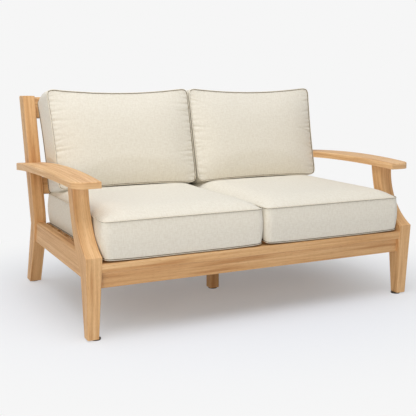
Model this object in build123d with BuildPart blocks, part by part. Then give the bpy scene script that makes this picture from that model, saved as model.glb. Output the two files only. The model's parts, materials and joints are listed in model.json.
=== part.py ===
from build123d import *
import os
from math import cos, radians, sin, tan

os.makedirs("parts", exist_ok=True)

# A two-seat garden sofa in solid teak with four loose cushions.
# Millimetres, +Z up, the sofa faces -Y. The origin is on the floor, in the middle of the footprint.
# Heights are measured from the floor. A size named "setback" is measured back from the front plane,
# which touches the knees of the front legs, and one named "from_back" forwards from the back plane,
# which touches the tops of the rear posts.

# Overall sizes
legs_width = 1440.0
depth = 980.0
arm_crest_height = 577.0
post_height = 848.0
slat_top_height = 296.0
back_rake = 14.0

# Fits and small finishing sizes
gap = 0.3
tenon_gap = 0.2
hole_gap = 0.1
overrun = 5.0
edge_ease = 3.0
small_ease = 1.5
glide_height = 5.0
glide_radius = 19.0

# Front legs
leg_width = 60.0
knee_height = 305.0
leg_taper_height = 297.0
leg_edge = 2.0
foot_setback = 15.0
foot_depth = 44.0
foot_outer_inset = 4.0
foot_inner_inset = 14.0
calf_height = 226.0
calf_setback = 75.0
leg_top_setback = 138.0
leg_top_depth = 72.0
sweep_bow = 50.0
sweep_back_bow = 25.0
leg_tenon_width = 34.0
leg_tenon_depth = 30.0
leg_tenon_height = 16.0

# Rear posts
post_width = 52.0
post_inset = 6.0
post_foot_from_back = 68.0
post_foot_depth = 60.0
waist_from_back = 215.0
waist_height = 285.0
waist_radius = 200.0
hip_from_back = 132.0
hip_height = 288.0
hip_radius = 480.0
post_top_ease = 9.0

# Arms
arm_thickness = 27.0
arm_crest_setback = 384.0
arm_arch_radius = 5850.0
arm_underside_shift = 46.0
arm_front_setback = 43.0
arm_rear_from_back = 50.0
arm_outer_front = 741.0
arm_outer_rear = 750.0
arm_outer_bow = 17.0
arm_inner_front = 643.0
arm_inner_rear = 655.0
arm_inner_bow = 8.0
arm_outer_corner = 48.0
arm_inner_corner = 58.0
arm_ease = 4.5

# Seat frame
seat_rail_setback = 4.0
seat_rail_depth = 44.0
seat_rail_height = 33.0
seat_rail_top = 281.0
apron_thickness = 25.0
apron_height = 59.0
side_rail_inset = 14.0
side_rail_thickness = 34.0
side_rail_top = 303.0
side_rail_height = 91.0
side_rail_round = 9.0
rear_rail_from_back = 174.0
post_shoulder_in = 18.0
rear_rail_thickness = 26.0
rear_rail_height = 76.0
stretcher_width = 44.0
stretcher_height = 76.0
tenon_thickness = 14.0
tenon_length = 28.0
tenon_shoulder = 10.0

# Centre leg
centre_leg_setback = 462.0
centre_leg_width = 43.0
centre_leg_depth = 42.0
centre_tenon = 20.0

# Seat slats and what carries them
slat_thickness = 20.0
slat_width = 78.0
slat_count = 7
first_slat_setback = 56.0
last_slat_from_back = 190.0
slat_end_gap = 2.0
cleat_width = 32.0
cleat_height = 28.0
cleat_front_setback = 113.0
cleat_rear_from_back = 232.0
block_side = 56.0
block_height = 48.0

# Back frame, in the raked plane of the back: heights run up the rake from the lower rail's bottom edge
back_base_height = 423.0
back_frame_from_back = 170.0
back_lower_rail_height = 74.0
back_top_rail_height = 92.0
back_rail_thickness = 28.0
back_frame_height = 433.0
back_slat_count = 9
back_slat_width = 46.0
back_slat_thickness = 14.0
back_slat_span = 1190.0
back_slat_tenon = 12.0

# Screws
screw_radius = 2.2
screw_head_radius = 4.4
screw_sink = 0.4
slat_screw_length = 38.0
slat_screw_spread = 40.0
cleat_screw_length = 54.0
arm_screw_length = 66.0
arm_screw_from_back = 112.0
arm_screw_spread = 24.0

# Cushions
fabric = 2.0
foam_gap = 0.3
piping_radius = 2.6
piping_gap = 0.8
zip_width = 5.0
zip_thickness = 2.0
zip_length = 440.0

# Seat cushions, over their piping
seat_front_setback = 4.0
seat_rear_from_back = 200.0
seat_middle_x = 3.0
seat_side_x = 656.0
seat_boxing = 131.0
seat_crown = 33.0
seat_draw_in = 6.0
seat_swell = 4.0
seat_corner = 26.0

# Back cushions, over their piping; heights run up the rake as on the back frame
back_side_low_x = 637.0
back_side_high_x = 660.0
back_middle_low_x = 9.0
back_middle_high_x = 3.0
back_top = 424.0
back_boxing = 172.0
back_front_crown = 44.0
back_rear_crown = 24.0
back_draw_in = 8.0
back_low_draw = 0.2
back_top_dip = 21.0
back_swell = 4.0
back_corner = 28.0
back_rest_gap = 0.1

# Shares that shape the crowns: how far in, how high, how much of the drawn-in side is left, and how
# much rounder the corners are, from the seam to the top of the crown
inset_shares = (0, 0.04, 0.14, 0.3)
rise_shares = (0, 0.45, 0.84, 1)
draw_shares = (1, 0.8, 0.4, 0.1)
round_shares = (1, 1.5, 2.4, 3.4)
widest_corner_share = 0.4

# Places worked out from the sizes
front_y = -depth / 2
back_y = depth / 2
half_width = legs_width / 2
leg_inner_x = half_width - leg_width
post_outer_x = half_width - post_inset
post_inner_x = post_outer_x - post_width
side_rail_outer_x = half_width - side_rail_inset
side_rail_inner_x = side_rail_outer_x - side_rail_thickness
far = legs_width
slat_bottom = slat_top_height - slat_thickness
rail_back_y = front_y + seat_rail_setback + seat_rail_depth
apron_top = seat_rail_top - seat_rail_height
arch_y = front_y + arm_crest_setback
arch_z = arm_crest_height - arm_arch_radius
underside_arch_y = arch_y - arm_underside_shift
rake_slope = tan(radians(back_rake))
back_plane = Plane(
    origin=(0, back_y - back_frame_from_back, back_base_height),
    x_dir=(1, 0, 0),
    z_dir=(0, -cos(radians(back_rake)), sin(radians(back_rake))),
)
hang = (Align.CENTER, Align.CENTER, Align.MAX)
stand = (Align.CENTER, Align.CENTER, Align.MIN)
centre_leg_y = front_y + centre_leg_setback
stretcher_bottom = slat_bottom - stretcher_height
stretcher_rear_y = back_y - rear_rail_from_back
slat_pitch = (depth - last_slat_from_back - first_slat_setback - slat_width) / (slat_count - 1)
slat_ys = [
    front_y + first_slat_setback + slat_width / 2 + i * slat_pitch for i in range(slat_count)
]
cleat_inner_x = side_rail_inner_x - cleat_width
slat_end_x = leg_inner_x - slat_end_gap
slat_screw_x = (cleat_inner_x + slat_end_x) / 2
slat_screw_places = [
    (x, y + spread, slat_top_height - screw_sink)
    for x in (-slat_screw_x, 0, slat_screw_x)
    for y in slat_ys
    for spread in (-slat_screw_spread / 2, slat_screw_spread / 2)
]


def block(low, high, mode=Mode.ADD):
    """A box from its low corner to its high corner."""
    size = [b - a for a, b in zip(low, high)]
    middle = [(a + b) / 2 for a, b in zip(low, high)]
    with Locations(tuple(middle)):
        Box(*size, mode=mode)


def raked_block(low, high, mode=Mode.ADD):
    """A box in the raked plane of the back: X, up the rake, and forwards from the plane."""
    with Locations(back_plane):
        block(low, high, mode)


def grown(low, high, grow):
    """The corners of a box, moved out by the given amounts along X, Y and Z."""
    return [a - g for a, g in zip(low, grow)], [b + g for b, g in zip(high, grow)]


def mirrored_box(low, high):
    """The same box on the left-hand side."""
    return (-high[0], low[1], low[2]), (-low[0], high[1], high[2])


def save(name, piece):
    """Label a finished piece and write it to its own file."""
    piece.label = name
    export_step(piece, f"parts/{name}.step")


def mirrored(piece):
    """The left-hand twin of a right-hand piece."""
    with BuildPart() as twin:
        mirror(piece, about=Plane.YZ)
    return twin.part


def save_pair(name, right_piece):
    save(f"{name}_right", right_piece)
    save(f"{name}_left", mirrored(right_piece))


def upright_edges(part, share=0.3):
    """The edges that run up a piece, not straight across it."""
    return [e for e in part.edges() if abs(e.tangent_at(share).Z) > share]


# Front leg outlines
def leg_side_outline():
    """Side view of a front leg: foot, crisp knee, and the sweep back to the arm."""
    foot_y = front_y + foot_setback
    top_y = front_y + leg_top_setback
    top_z = arm_crest_height
    with BuildSketch() as outline:
        with BuildLine():
            Line((foot_y, glide_height), (front_y, knee_height))
            SagittaArc((front_y, knee_height), (top_y, top_z), -sweep_bow)
            Line((top_y, top_z), (top_y + leg_top_depth, top_z))
            SagittaArc(
                (top_y + leg_top_depth, top_z), (front_y + calf_setback, calf_height), sweep_back_bow
            )
            Line((front_y + calf_setback, calf_height), (foot_y + foot_depth, glide_height))
            Line((foot_y + foot_depth, glide_height), (foot_y, glide_height))
        make_face()
    return outline.sketch


def leg_front_outline():
    """Front view of the right front leg: straight down to just under the knee, then tapered."""
    with BuildSketch() as outline:
        with BuildLine():
            Polyline(
                (half_width, arm_crest_height + far),
                (half_width, leg_taper_height),
                (half_width - foot_outer_inset, glide_height),
                (leg_inner_x + foot_inner_inset, glide_height),
                (leg_inner_x, leg_taper_height),
                (leg_inner_x, arm_crest_height + far),
                close=True,
            )
        make_face()
    return outline.sketch


def post_side_outline():
    """Side view of a rear post: splayed foot, curved waist, raked top."""
    foot_y = back_y - post_foot_from_back
    top_y = back_y - waist_from_back + (post_height - waist_height) * rake_slope
    rear_slope = hip_from_back / (post_height - hip_height)
    rounded_off = post_top_ease * (rear_slope + (1 + rear_slope**2) ** 0.5 - 1)
    with BuildSketch() as outline:
        with BuildLine():
            Polyline(
                (foot_y, glide_height),
                (back_y - waist_from_back, waist_height),
                (top_y, post_height),
                (back_y + rounded_off, post_height),
                (back_y - hip_from_back, hip_height),
                (foot_y + post_foot_depth, glide_height),
                close=True,
            )
        make_face()
        middle = [v for v in outline.vertices() if glide_height < v.Y < post_height]
        waist, hip = ShapeList(middle).sort_by(Axis.X)
        fillet(waist, radius=waist_radius)
        fillet(hip, radius=hip_radius)
        fillet(outline.vertices().sort_by(Axis.X)[-1], radius=post_top_ease)
    return outline.sketch


# Boxes of the tenons, shared by each rail and the piece that it enters
def leg_tenon_box():
    shoulder_z = arm_crest_height - arm_thickness
    middle_y = front_y + leg_top_setback + leg_top_depth / 2
    middle_x = half_width - leg_width / 2
    return (
        (
            middle_x - leg_tenon_width / 2,
            middle_y - leg_tenon_depth / 2,
            shoulder_z - leg_tenon_height,
        ),
        (
            middle_x + leg_tenon_width / 2,
            middle_y + leg_tenon_depth / 2,
            shoulder_z + leg_tenon_height,
        ),
    )


def side_tenon_box(shoulder_y):
    """A side rail's tenon, centred on the shoulder line that it passes through."""
    middle_x = (side_rail_outer_x + side_rail_inner_x) / 2
    low_z = side_rail_top - side_rail_height + tenon_shoulder
    return (
        (middle_x - tenon_thickness / 2, shoulder_y - tenon_length, low_z),
        (middle_x + tenon_thickness / 2, shoulder_y + tenon_length, side_rail_top - tenon_shoulder),
    )


def cross_tenon_box(middle_y, low_z, high_z, inner_x, shoulder=tenon_shoulder):
    """A cross rail's right-hand tenon, centred on the inner face that it passes through."""
    return (
        (inner_x - tenon_length, middle_y - tenon_thickness / 2, low_z + shoulder),
        (inner_x + tenon_length, middle_y + tenon_thickness / 2, high_z - shoulder),
    )


leg_shoulder_y = front_y + calf_setback + tenon_length / 2
post_shoulder_y = back_y - waist_from_back + post_shoulder_in
front_rail_tenon = cross_tenon_box(
    front_y + seat_rail_setback + seat_rail_depth / 2, apron_top, seat_rail_top, leg_inner_x, small_ease
)
apron_middle_y = rail_back_y - apron_thickness / 2
apron_tenon = cross_tenon_box(apron_middle_y, apron_top - apron_height, apron_top, leg_inner_x)
rear_rail_middle_y = back_y - rear_rail_from_back + rear_rail_thickness / 2
rear_rail_top = slat_bottom
rear_rail_tenon = cross_tenon_box(
    rear_rail_middle_y, rear_rail_top - rear_rail_height, rear_rail_top, post_inner_x
)
mortise_growth = (tenon_gap, tenon_gap, tenon_gap)


def back_tenon_box(low, high):
    """A back rail's right-hand tenon, in the raked plane, for a rail from low to high."""
    middle = -back_rail_thickness / 2
    return (
        (post_inner_x - tenon_length, low + tenon_shoulder, middle - tenon_thickness / 2),
        (post_inner_x + tenon_length, high - tenon_shoulder, middle + tenon_thickness / 2),
    )


back_rails = {
    "back_lower_rail": (0, back_lower_rail_height),
    "back_top_rail": (back_frame_height - back_top_rail_height, back_frame_height),
}
back_slat_xs = [
    back_slat_span * (i / (back_slat_count - 1) - 1 / 2) for i in range(back_slat_count)
]


def back_slat_box(x):
    """A back slat between the two back rails, centred in their thickness."""
    middle = -back_rail_thickness / 2
    return (
        (x - back_slat_width / 2, back_lower_rail_height, middle - back_slat_thickness / 2),
        (
            x + back_slat_width / 2,
            back_frame_height - back_top_rail_height,
            middle + back_slat_thickness / 2,
        ),
    )


def back_slat_tenon_box(x):
    """The tenons of a back slat as one box from end to end, narrower and thinner than the slat."""
    low, high = back_slat_box(x)
    inset = (tenon_shoulder / 2, -back_slat_tenon, small_ease)
    return grown(low, high, [-i for i in inset])


# Places of the screws that run along X: into the side rails, and through the posts into the arms
outwards = (0, -90, 0)
cleat_front_y = front_y + cleat_front_setback
cleat_rear_y = back_y - cleat_rear_from_back
cleat_screw_places = [
    Location((cleat_inner_x + screw_sink, (a + b) / 2, slat_bottom - cleat_height / 2), outwards)
    for a, b in zip(slat_ys, slat_ys[1:])
]


def arm_middle_z(y):
    """Height of the middle of an arm's thickness at a place along it."""
    radius = arm_arch_radius - arm_thickness / 2
    return arch_z + (radius**2 - (y - arch_y) ** 2) ** 0.5


arm_screw_y = back_y - arm_screw_from_back
arm_screw_places = [
    Location((post_inner_x + screw_sink, y, arm_middle_z(y)), outwards)
    for y in (arm_screw_y - arm_screw_spread / 2, arm_screw_y + arm_screw_spread / 2)
]


def screw(length):
    """A countersunk wood screw that hangs down from the active location."""
    Cylinder(screw_radius, length, align=hang)
    Cone(screw_radius, screw_head_radius, screw_head_radius - screw_radius, align=hang)


def screw_hole(length):
    """The hole that a screw passes through, with a little room round it and a sunk head."""
    with Locations((0, 0, screw_sink)):
        CounterSinkHole(screw_radius + hole_gap, screw_head_radius + screw_sink + hole_gap, length, 90)


def screw_end(length):
    """The blind hole that the end of a screw sits in."""
    Cylinder(screw_radius + hole_gap, length + hole_gap, align=hang, mode=Mode.SUBTRACT)


# Front legs
with BuildPart() as front_leg:
    with BuildSketch(Plane.YZ.offset(leg_inner_x)):
        add(leg_side_outline())
    extrude(amount=leg_width)
    with BuildSketch(Plane.XZ):
        add(leg_front_outline())
    extrude(amount=depth, both=True, mode=Mode.INTERSECT)
    chamfer(upright_edges(front_leg), length=leg_edge)
    with BuildSketch(Plane.YZ):
        with Locations((underside_arch_y, arch_z)):
            Circle(arm_arch_radius + far)
            Circle(arm_arch_radius - arm_thickness, mode=Mode.SUBTRACT)
    extrude(amount=far, mode=Mode.SUBTRACT)
    block(*leg_tenon_box())
    block(*grown(*side_tenon_box(leg_shoulder_y), mortise_growth), mode=Mode.SUBTRACT)
    block(*grown(*front_rail_tenon, mortise_growth), mode=Mode.SUBTRACT)
    block(*grown(*apron_tenon, mortise_growth), mode=Mode.SUBTRACT)
save_pair("front_leg", front_leg.part)

# Rear posts
with BuildPart() as rear_post:
    with BuildSketch(Plane.YZ.offset(post_inner_x)):
        add(post_side_outline())
    extrude(amount=post_width)
    fillet(rear_post.faces().filter_by(Axis.X).edges(), radius=edge_ease)
    block(*grown(*side_tenon_box(post_shoulder_y), mortise_growth), mode=Mode.SUBTRACT)
    block(*grown(*rear_rail_tenon, mortise_growth), mode=Mode.SUBTRACT)
    for rail_low, rail_high in back_rails.values():
        raked_block(*grown(*back_tenon_box(rail_low, rail_high), mortise_growth), mode=Mode.SUBTRACT)
    with Locations(*arm_screw_places):
        screw_hole(post_width + overrun)
save_pair("rear_post", rear_post.part)


def arm_plan():
    """Plan of the right arm: bowed edges and a round front end."""
    front = front_y + arm_front_setback
    rear = back_y - arm_rear_from_back
    with BuildSketch() as outline:
        with BuildLine():
            SagittaArc((arm_outer_front, front), (arm_outer_rear, rear), -arm_outer_bow)
            Line((arm_outer_rear, rear), (arm_inner_rear, rear))
            SagittaArc((arm_inner_rear, rear), (arm_inner_front, front), -arm_inner_bow)
            Line((arm_inner_front, front), (arm_outer_front, front))
        make_face()
        inner, outer = outline.vertices().group_by(Axis.Y)[0].sort_by(Axis.X)
        fillet(outer, radius=arm_outer_corner)
        fillet(inner, radius=arm_inner_corner)
    return outline.sketch


def arm_section():
    """Side view of an arm: a board arched along its length, a little thinner at the front."""
    with BuildSketch() as outline:
        with Locations((arch_y, arch_z)):
            Circle(arm_arch_radius)
        with Locations((underside_arch_y, arch_z)):
            Circle(arm_arch_radius - arm_thickness, mode=Mode.SUBTRACT)
    return outline.sketch


def behind_post_front():
    """Side view of everything behind a rear post's front face, above the waist."""
    top_z = post_height + far
    top_y = back_y - waist_from_back + (top_z - waist_height) * rake_slope
    with BuildSketch() as outline:
        with BuildLine():
            Polyline(
                (back_y - waist_from_back, waist_height),
                (top_y, top_z),
                (top_y + far, top_z),
                (top_y + far, waist_height),
                close=True,
            )
        make_face()
    return outline.sketch


# Arms
with BuildPart() as arm:
    with BuildSketch(Plane.XY.offset(knee_height)):
        add(arm_plan())
    extrude(amount=arm_crest_height)
    with BuildSketch(Plane.YZ):
        add(arm_section())
    extrude(amount=far, mode=Mode.INTERSECT)
    board_faces = arm.faces().sort_by(Axis.Z)
    fillet(board_faces[-1].edges() + board_faces[0].edges(), radius=arm_ease)
    with BuildSketch(Plane.YZ.offset(post_outer_x)):
        add(behind_post_front())
    extrude(amount=-far, mode=Mode.SUBTRACT)
    block(*grown(*leg_tenon_box(), mortise_growth), mode=Mode.SUBTRACT)
    with Locations(*arm_screw_places):
        screw_end(arm_screw_length)
save_pair("arm", arm.part)
with BuildPart() as arm_screws:
    with Locations(*arm_screw_places):
        screw(arm_screw_length)
    mirror(about=Plane.YZ)
save("arm_screws", arm_screws.part)

# Front seat rail and apron
with BuildPart() as seat_front_rail:
    block(
        (-half_width + edge_ease, front_y + seat_rail_setback, apron_top),
        (half_width - edge_ease, rail_back_y, seat_rail_top),
    )
    fillet(seat_front_rail.edges().filter_by(Axis.X), radius=edge_ease)
    with BuildSketch(Plane.XZ):
        add(leg_front_outline())
        mirror(leg_front_outline(), about=Plane.YZ)
    extrude(amount=depth, both=True, mode=Mode.SUBTRACT)
    block(*front_rail_tenon)
    block(*mirrored_box(*front_rail_tenon))
save("seat_front_rail", seat_front_rail.part)

with BuildPart() as front_apron:
    block(
        (-half_width + edge_ease, rail_back_y - apron_thickness, apron_top - apron_height),
        (half_width - edge_ease, rail_back_y, apron_top),
    )
    fillet(front_apron.faces().sort_by(Axis.Z)[0].edges().filter_by(Axis.X), radius=small_ease)
    with BuildSketch(Plane.XZ):
        add(leg_front_outline())
        mirror(leg_front_outline(), about=Plane.YZ)
    extrude(amount=depth, both=True, mode=Mode.SUBTRACT)
    block(*apron_tenon)
    block(*mirrored_box(*apron_tenon))
save("front_apron", front_apron.part)

# Side rails
with BuildPart() as side_rail:
    block(
        (side_rail_inner_x, leg_shoulder_y - tenon_length / 2, side_rail_top - side_rail_height),
        (side_rail_outer_x, post_shoulder_y + post_shoulder_in, side_rail_top),
    )
    long_edges = side_rail.edges().filter_by(Axis.Y)
    top_outer = long_edges.group_by(Axis.Z)[-1].sort_by(Axis.X)[-1]
    fillet(top_outer, radius=side_rail_round)
    fillet(side_rail.edges().filter_by(Axis.Y).group_by(Axis.Z)[0], radius=edge_ease)
    with BuildSketch(Plane.YZ):
        add(leg_side_outline())
        add(post_side_outline())
    extrude(amount=far, mode=Mode.SUBTRACT)
    block(*side_tenon_box(leg_shoulder_y))
    block(*side_tenon_box(post_shoulder_y))
    with Locations(*cleat_screw_places):
        screw_end(cleat_screw_length)
save_pair("side_rail", side_rail.part)

# Rear seat rail
with BuildPart() as seat_rear_rail:
    block(
        (-post_inner_x, rear_rail_middle_y - rear_rail_thickness / 2, rear_rail_top - rear_rail_height),
        (post_inner_x, rear_rail_middle_y + rear_rail_thickness / 2, rear_rail_top),
    )
    fillet(seat_rear_rail.edges().filter_by(Axis.X), radius=small_ease)
    block(*rear_rail_tenon)
    block(*mirrored_box(*rear_rail_tenon))
save("seat_rear_rail", seat_rear_rail.part)

# Centre stretcher and the leg under it
with BuildPart() as centre_stretcher:
    block(
        (-stretcher_width / 2, rail_back_y, stretcher_bottom),
        (stretcher_width / 2, stretcher_rear_y, slat_bottom),
    )
    fillet(centre_stretcher.faces().sort_by(Axis.Z)[0].edges().filter_by(Axis.Y), radius=small_ease)
    with Locations((0, centre_leg_y, stretcher_bottom)):
        Box(
            tenon_thickness + 2 * tenon_gap,
            centre_leg_depth - 2 * tenon_shoulder + 2 * tenon_gap,
            2 * (centre_tenon + tenon_gap),
            mode=Mode.SUBTRACT,
        )
    with Locations(*[p for p in slat_screw_places if p[0] == 0]):
        screw_end(slat_screw_length)
save("centre_stretcher", centre_stretcher.part)

with BuildPart() as centre_leg:
    block(
        (-centre_leg_width / 2, centre_leg_y - centre_leg_depth / 2, glide_height),
        (centre_leg_width / 2, centre_leg_y + centre_leg_depth / 2, stretcher_bottom),
    )
    fillet(centre_leg.edges().filter_by(Axis.Z), radius=edge_ease)
    with Locations((0, centre_leg_y, stretcher_bottom)):
        Box(
            tenon_thickness,
            centre_leg_depth - 2 * tenon_shoulder,
            centre_tenon,
            align=(Align.CENTER, Align.CENTER, Align.MIN),
        )
save("centre_leg", centre_leg.part)

# Cleats, screwed to the inner faces of the side rails
with BuildPart() as slat_cleat:
    block(
        (cleat_inner_x, cleat_front_y, slat_bottom - cleat_height),
        (side_rail_inner_x, cleat_rear_y, slat_bottom),
    )
    with Locations(*cleat_screw_places):
        screw_hole(cleat_width + overrun)
    with Locations(*[p for p in slat_screw_places if p[0] > 0 and cleat_front_y < p[1] < cleat_rear_y]):
        screw_end(slat_screw_length)
save_pair("slat_cleat", slat_cleat.part)
with BuildPart() as cleat_screws:
    with Locations(*cleat_screw_places):
        screw(cleat_screw_length)
    mirror(about=Plane.YZ)
save("cleat_screws", cleat_screws.part)

# Seat slats
for number, slat_y in enumerate(slat_ys, start=1):
    with BuildPart() as seat_slat:
        block(
            (-slat_end_x, slat_y - slat_width / 2, slat_bottom),
            (slat_end_x, slat_y + slat_width / 2, slat_top_height),
        )
        fillet(seat_slat.faces().sort_by(Axis.Z)[-1].edges(), radius=edge_ease)
        with Locations(*[p for p in slat_screw_places if abs(p[1] - slat_y) < slat_width / 2]):
            screw_hole(slat_thickness + overrun)
    save(f"seat_slat_{number}", seat_slat.part)
with BuildPart() as slat_screws:
    with Locations(*slat_screw_places):
        screw(slat_screw_length)
save("slat_screws", slat_screws.part)


def corner_block(corner_x, corner_y, towards):
    """A three-cornered block in a corner of the seat frame; towards is the way it runs along Y."""
    with BuildPart() as piece:
        with BuildSketch(Plane.XY.offset(slat_bottom - block_height)):
            with BuildLine():
                Polyline(
                    (corner_x, corner_y),
                    (corner_x - block_side, corner_y),
                    (corner_x, corner_y + towards * block_side),
                    close=True,
                )
            make_face()
        extrude(amount=block_height)
        ends = [p for p in slat_screw_places if p[0] > 0 and abs(p[1] - corner_y) < block_side]
        with Locations(*ends):
            screw_end(slat_screw_length)
    return piece.part


# Corner blocks under the first and last slats
save_pair("corner_block_front", corner_block(leg_inner_x, rail_back_y, 1))
save_pair("corner_block_rear", corner_block(post_inner_x, stretcher_rear_y, -1))

# Back rails, in the raked plane
for rail_name, (rail_low, rail_high) in back_rails.items():
    with BuildPart() as back_rail:
        raked_block((-post_inner_x, rail_low, -back_rail_thickness), (post_inner_x, rail_high, 0))
        fillet(back_rail.edges().filter_by(Axis.X), radius=edge_ease)
        raked_block(*back_tenon_box(rail_low, rail_high))
        raked_block(*mirrored_box(*back_tenon_box(rail_low, rail_high)))
        for slat_x in back_slat_xs:
            raked_block(*grown(*back_slat_tenon_box(slat_x), mortise_growth), mode=Mode.SUBTRACT)
    save(rail_name, back_rail.part)

# Back slats, with a tenon at each end
for number, slat_x in enumerate(back_slat_xs, start=1):
    with BuildPart() as back_slat:
        low, high = back_slat_box(slat_x)
        raked_block(low, high)
        fillet(back_slat.edges().sort_by_distance(back_slat.part.center())[:4], radius=small_ease)
        raked_block(*back_slat_tenon_box(slat_x))
    save(f"back_slat_{number}", back_slat.part)

# Glides under the feet
leg_foot_x = half_width - (foot_outer_inset + leg_width + foot_inner_inset) / 2
leg_foot_y = front_y + foot_setback + foot_depth / 2
post_foot_y = back_y - post_foot_from_back + post_foot_depth / 2
with BuildPart() as foot_glides:
    with Locations((leg_foot_x, leg_foot_y, 0), (post_outer_x - post_width / 2, post_foot_y, 0)):
        Cylinder(glide_radius, glide_height, align=stand)
    mirror(about=Plane.YZ)
    with Locations((0, centre_leg_y, 0)):
        Cylinder(glide_radius, glide_height, align=stand)
save("foot_glides", foot_glides.part)


def pillow_face(frame, draws, corner, inset=0.0):
    """An outline with round corners and drawn-in sides, moved inwards by the inset."""
    left_low, right_low, left_high, right_high, low, high = frame
    points = [
        (left_low + inset, low + inset),
        (right_low - inset, low + inset),
        (right_high - inset, high - inset),
        (left_high + inset, high - inset),
    ]
    with BuildSketch() as outline:
        with BuildLine():
            for start, end, draw in zip(points, points[1:] + points[:1], draws):
                SagittaArc(start, end, draw)
        make_face()
        shortest = min(edge.length for edge in outline.edges())
        fillet(outline.vertices(), radius=min(corner, shortest * widest_corner_share))
    return outline.sketch


def crown(height, rise, frame, draws, corner, inset=0.0, slope=None):
    """Sections from a seam to the top of the crown over it, as heights and faces; where a slope is
    given, the high side of the crown rises by it, and an inset keeps its distance from the slope."""
    reach = min(frame[1] - frame[0], frame[5] - frame[4]) / 2
    sections = []
    for share, up, draw, round_share in zip(inset_shares, rise_shares, draw_shares, round_shares):
        *sides, high = frame
        if slope:
            behind = rise * up / slope + inset * up * ((1 + slope**2) ** 0.5 / slope - 1)
            high -= behind - reach * share
        face = pillow_face(
            (*sides, high), [d * draw for d in draws], corner * round_share, inset + reach * share
        )
        sections.append((height + rise * up, face))
    return sections


def pillow(plane, groups):
    """A soft body made of lofts that share their seams."""
    with BuildPart() as body:
        for group in groups:
            for height, face in group:
                with BuildSketch(plane.offset(height)):
                    add(face)
            loft()
    return body.part


def shell(outer, inner):
    """A sewn cover: the outer form less the space inside it."""
    with BuildPart() as cover:
        add(outer)
        add(inner, mode=Mode.SUBTRACT)
    return cover.part


def piping(plane, face):
    """A closed cord that follows a seam just outside the outline."""
    path = offset(face, amount=piping_radius + piping_gap).face().outer_wire()
    path = plane.from_local_coords(path)
    with BuildPart() as cord:
        with BuildSketch(Plane(origin=path @ 0, z_dir=path % 0)):
            Circle(piping_radius)
        sweep(path=path)
    return cord.part


def zip_strip(plane, face, place, along):
    """A zip that lies on a boxing: a thin strip round the outline, cut to its length at a place."""
    outer = offset(face, amount=gap + zip_thickness)
    inner = offset(face, amount=gap)
    with BuildPart() as strip:
        with BuildSketch(plane):
            add(outer)
            add(inner, mode=Mode.SUBTRACT)
            with Locations(place):
                Rectangle(zip_length, 2 * seat_corner, mode=Mode.INTERSECT)
        extrude(amount=zip_width / 2, dir=along)
        mirror(about=plane)
    return strip.part


# Seat cushions: flat underneath, swelling sides, piping on both seams, and a crowned top whose rear
# slopes down under the back cushion
piping_reach = piping_gap + 2 * piping_radius
seat_frame = (
    seat_middle_x + piping_reach,
    seat_side_x - piping_reach,
    seat_middle_x + piping_reach,
    seat_side_x - piping_reach,
    front_y + seat_front_setback + piping_reach,
    back_y - seat_rear_from_back - piping_reach,
)
seat_draws = [seat_draw_in] * 4
seat_base = slat_top_height + gap


def seat_form(wall):
    """The seat cushion's form, moved in by a wall on every side."""
    low = seat_base + wall
    seam = seat_base + seat_boxing
    seam_face = pillow_face(seat_frame, seat_draws, seat_corner, wall)
    middle_face = pillow_face(seat_frame, seat_draws, seat_corner, wall - seat_swell)
    boxing = [(low, seam_face), ((low + seam) / 2, middle_face), (seam, seam_face)]
    top = crown(seam, seat_crown - wall, seat_frame, seat_draws, seat_corner, wall, rake_slope)
    return pillow(Plane.XY, [boxing, top])


seat_seam_face = pillow_face(seat_frame, seat_draws, seat_corner)
seat_middle_face = pillow_face(seat_frame, seat_draws, seat_corner, -seat_swell)
save_pair("seat_cover", shell(seat_form(0), seat_form(fabric)))
save_pair("seat_core", seat_form(fabric + foam_gap))
with BuildPart() as seat_piping:
    add(piping(Plane.XY.offset(seat_base + piping_radius), seat_seam_face))
    add(piping(Plane.XY.offset(seat_base + seat_boxing), seat_seam_face))
save_pair("seat_piping", seat_piping.part)
seat_zip_plane = Plane.XY.offset(seat_base + seat_boxing / 2)
seat_zip_place = ((seat_frame[0] + seat_frame[1]) / 2, seat_frame[5])
save_pair("seat_zip", zip_strip(seat_zip_plane, seat_middle_face, seat_zip_place, (0, 0, 1)))

# Back cushions: they lean on the back rails, and their zips lie on the rear slope of the seat cushions
rake = radians(back_rake)
rear_seam = gap + back_rear_crown
front_seam = rear_seam + back_boxing
back_draws = [back_low_draw, back_draw_in, back_top_dip, back_draw_in]
slope_low = (seat_frame[5] - back_plane.origin.Y) * sin(rake)
slope_low += (seat_base + seat_boxing - back_base_height) * cos(rake)
back_frame = (
    back_middle_low_x + piping_reach,
    back_side_low_x - piping_reach,
    back_middle_high_x + piping_reach,
    back_side_high_x - piping_reach,
    slope_low + back_swell + gap + zip_thickness + back_rest_gap,
    back_top - piping_reach,
)


def back_face(inset=0.0):
    """The outline of a back cushion in the raked plane."""
    return pillow_face(back_frame, back_draws, back_corner, inset)


def back_form(wall):
    """The back cushion's form, moved in by a wall on every side."""
    seam_face = back_face(wall)
    boxing = [
        (rear_seam, seam_face),
        ((rear_seam + front_seam) / 2, back_face(wall - back_swell)),
        (front_seam, seam_face),
    ]
    rear_rise = wall - back_rear_crown
    front_rise = back_front_crown - wall
    return pillow(
        back_plane,
        [
            boxing,
            crown(rear_seam, rear_rise, back_frame, back_draws, back_corner, wall),
            crown(front_seam, front_rise, back_frame, back_draws, back_corner, wall),
        ],
    )


save_pair("back_cover", shell(back_form(0), back_form(fabric)))
save_pair("back_core", back_form(fabric + foam_gap))
with BuildPart() as back_piping:
    for seam in (rear_seam, front_seam):
        add(piping(back_plane.offset(seam), back_face()))
save_pair("back_piping", back_piping.part)
back_middle = (rear_seam + front_seam) / 2
back_zip_place = ((back_frame[0] + back_frame[1]) / 2, back_frame[4])
save_pair(
    "back_zip",
    zip_strip(
        back_plane.offset(back_middle), back_face(-back_swell), back_zip_place, back_plane.z_dir
    ),
)
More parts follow.
